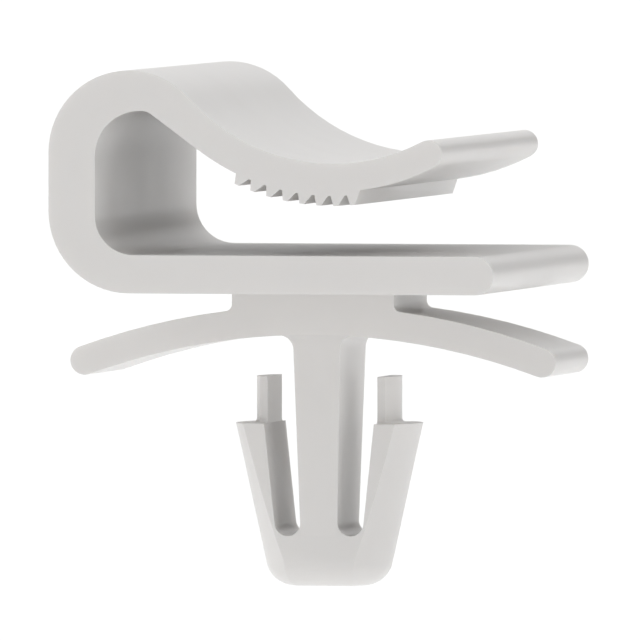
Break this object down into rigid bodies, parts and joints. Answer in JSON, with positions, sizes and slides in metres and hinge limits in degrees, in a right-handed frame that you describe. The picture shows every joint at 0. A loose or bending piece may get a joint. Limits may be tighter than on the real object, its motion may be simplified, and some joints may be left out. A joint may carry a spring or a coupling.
{
  "type": "flat cable clip",
  "caption": "Snap-in flat cable clip: a wide jaw with a toothed spring arm over a flat plate, spring wings, and a split arrowhead that locks in a round panel hole.",
  "frame": {"origin": "on the stem's axis, level with the relaxed wing tips, where they touch the near face of the panel", "axes": "+Z from the arrowhead up through the wings and plate to the arm, +X towards the jaw's open side, +Y along the jaw's width"},
  "size_m": [0.0206, 0.0202, 0.0216],
  "materials": {
    "nylon": "as-moulded natural nylon, satin and slightly translucent"
  },
  "bodies": {
    "root": {"cable_clip": "nylon"}
  },
  "joints": []
}
